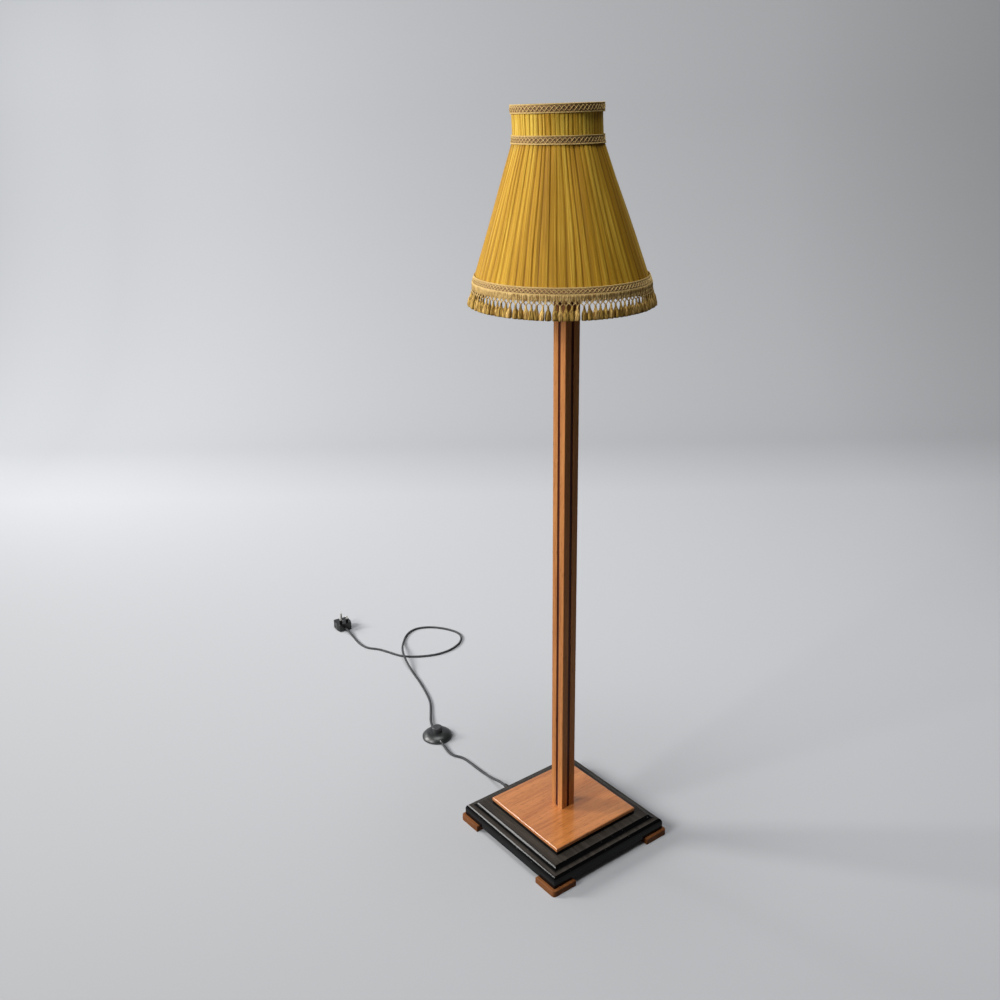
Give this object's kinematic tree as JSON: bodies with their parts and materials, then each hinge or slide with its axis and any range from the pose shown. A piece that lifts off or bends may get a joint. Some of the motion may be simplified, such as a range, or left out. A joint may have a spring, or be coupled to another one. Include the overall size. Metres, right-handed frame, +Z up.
{
  "type": "floor lamp",
  "caption": "Floor lamp: inlaid square column on a stepped square base, pleated and fringed fabric shade, flex with a foot switch and a three-pin plug.",
  "frame": {"origin": "on the floor under the column's axis", "axes": "+Z up along the column; X and Y along the sides of the base; the flex leaves through the base's -X side"},
  "size_m": [1.4377, 0.5651, 1.6321],
  "materials": {
    "polished_wood": "satin shellac polish over reddish brown hardwood",
    "foot_wood": "satin polish over brown hardwood",
    "ebonised_wood": "glossy black lacquer",
    "inlay_wood": "dark maroon stained strip, satin",
    "plywood": "plain birch plywood",
    "steel": "zinc plated",
    "brass": "turned brass, lightly lacquered",
    "brass_wire": "brass plated steel wire",
    "ceramic": "glazed white porcelain",
    "glass_opal": "pearl glass",
    "bulb_metal": "bright pressed metal",
    "frame_wire": "cream painted steel wire",
    "silk": "pleated gold silk",
    "lining_cloth": "plain cream lining cloth",
    "braid": "woven beige and gold braid",
    "fringe": "twisted gold and brown yarn",
    "flex_sheath": "matt black sheath",
    "black_rubber": "matt black rubber",
    "switch_plastic": "gloss black moulding",
    "button_plastic": "gloss dark grey moulding",
    "plug_plastic": "gloss black moulding",
    "fibre": "brown vulcanised fibre"
  },
  "bodies": {
    "stand": {"foot_front_left": "foot_wood", "foot_front_right": "foot_wood", "foot_back_right": "foot_wood", "foot_back_left": "foot_wood", "foot_screws": "steel", "base_plinth": "ebonised_wood", "base_panel": "polished_wood", "panel_screws": "steel", "well_cover": "plywood", "well_cover_screws": "steel", "flex_outlet_sleeve": "black_rubber", "column_half_left": "polished_wood", "column_half_right": "polished_wood", "column_inlays": "inlay_wood", "tie_tube": "steel", "tie_washer": "steel", "tie_nut_bottom": "steel", "tie_nut_top": "brass", "column_top_plate": "brass", "top_plate_screws": "brass", "lampholder_cap": "brass", "lampholder_insulator": "ceramic", "plunger_springs": "steel", "lampholder_shell": "brass", "shade_ring": "brass", "shade_carrier": "brass_wire", "flex_inside": "flex_sheath", "flex_to_switch": "flex_sheath", "flex_to_plug": "flex_sheath", "switch_base": "switch_plastic", "switch_cover": "switch_plastic", "switch_terminals": "brass", "switch_spring": "steel", "switch_screws": "steel", "plug_base": "plug_plastic", "plug_cover": "plug_plastic", "plug_line_pins": "brass", "plug_pin_sleeves": "plug_plastic", "plug_earth_pin": "brass", "plug_fuse": "ceramic", "plug_cover_screw": "steel", "plug_cord_clamp": "fibre"},
    "button": {"switch_button": "button_plastic", "switch_bridge": "brass"},
    "bulb": {"bulb_cap": "bulb_metal", "bulb_glass": "glass_opal", "bulb_mount": "ceramic"},
    "plungers": {"lampholder_plungers": "brass"},
    "gimbal": {"gimbal_ring": "brass", "gimbal_pivots": "brass"},
    "shade": {"gimbal_arms": "frame_wire", "shade_frame": "frame_wire", "shade_lining": "lining_cloth", "shade_cover": "silk", "shade_collar": "silk", "braid_top": "braid", "braid_collar": "braid", "braid_bottom": "braid", "fringe_heading": "braid", "fringe_tassels": "fringe"}
  },
  "joints": [
    {"name": "switch_press", "type": "slide", "parent": "stand", "child": "button", "axis": [0, 0, -1], "range_m": [0, 0.004], "stiffness_N_per_m": 600, "springref_m": -0.003, "deforming": ["switch_spring"]},
    {"name": "bulb_press", "type": "slide", "parent": "stand", "child": "bulb", "axis": [0, 0, -1], "range_m": [0, 0.002], "stiffness_N_per_m": 1500, "springref_m": -0.003},
    {"name": "plungers_press", "type": "slide", "parent": "stand", "child": "plungers", "axis": [0, 0, -1], "range_m": [0, 0.002], "deforming": ["plunger_springs"]},
    {"name": "shade_turn", "type": "hinge", "parent": "stand", "child": "gimbal", "pos_m": [-0.01111, -0.01474, 1.5423], "axis": [0, 0, 1], "continuous": true},
    {"name": "shade_tilt", "type": "hinge", "parent": "gimbal", "child": "shade", "pos_m": [-0.01116, -0.01481, 1.5523], "axis": [-0.6018, -0.7986, 0], "range_deg": [-10, 10]}
  ],
  "couplings": [
    {"joint": "plungers_press", "follows": "bulb_press", "ratio": 1}
  ]
}
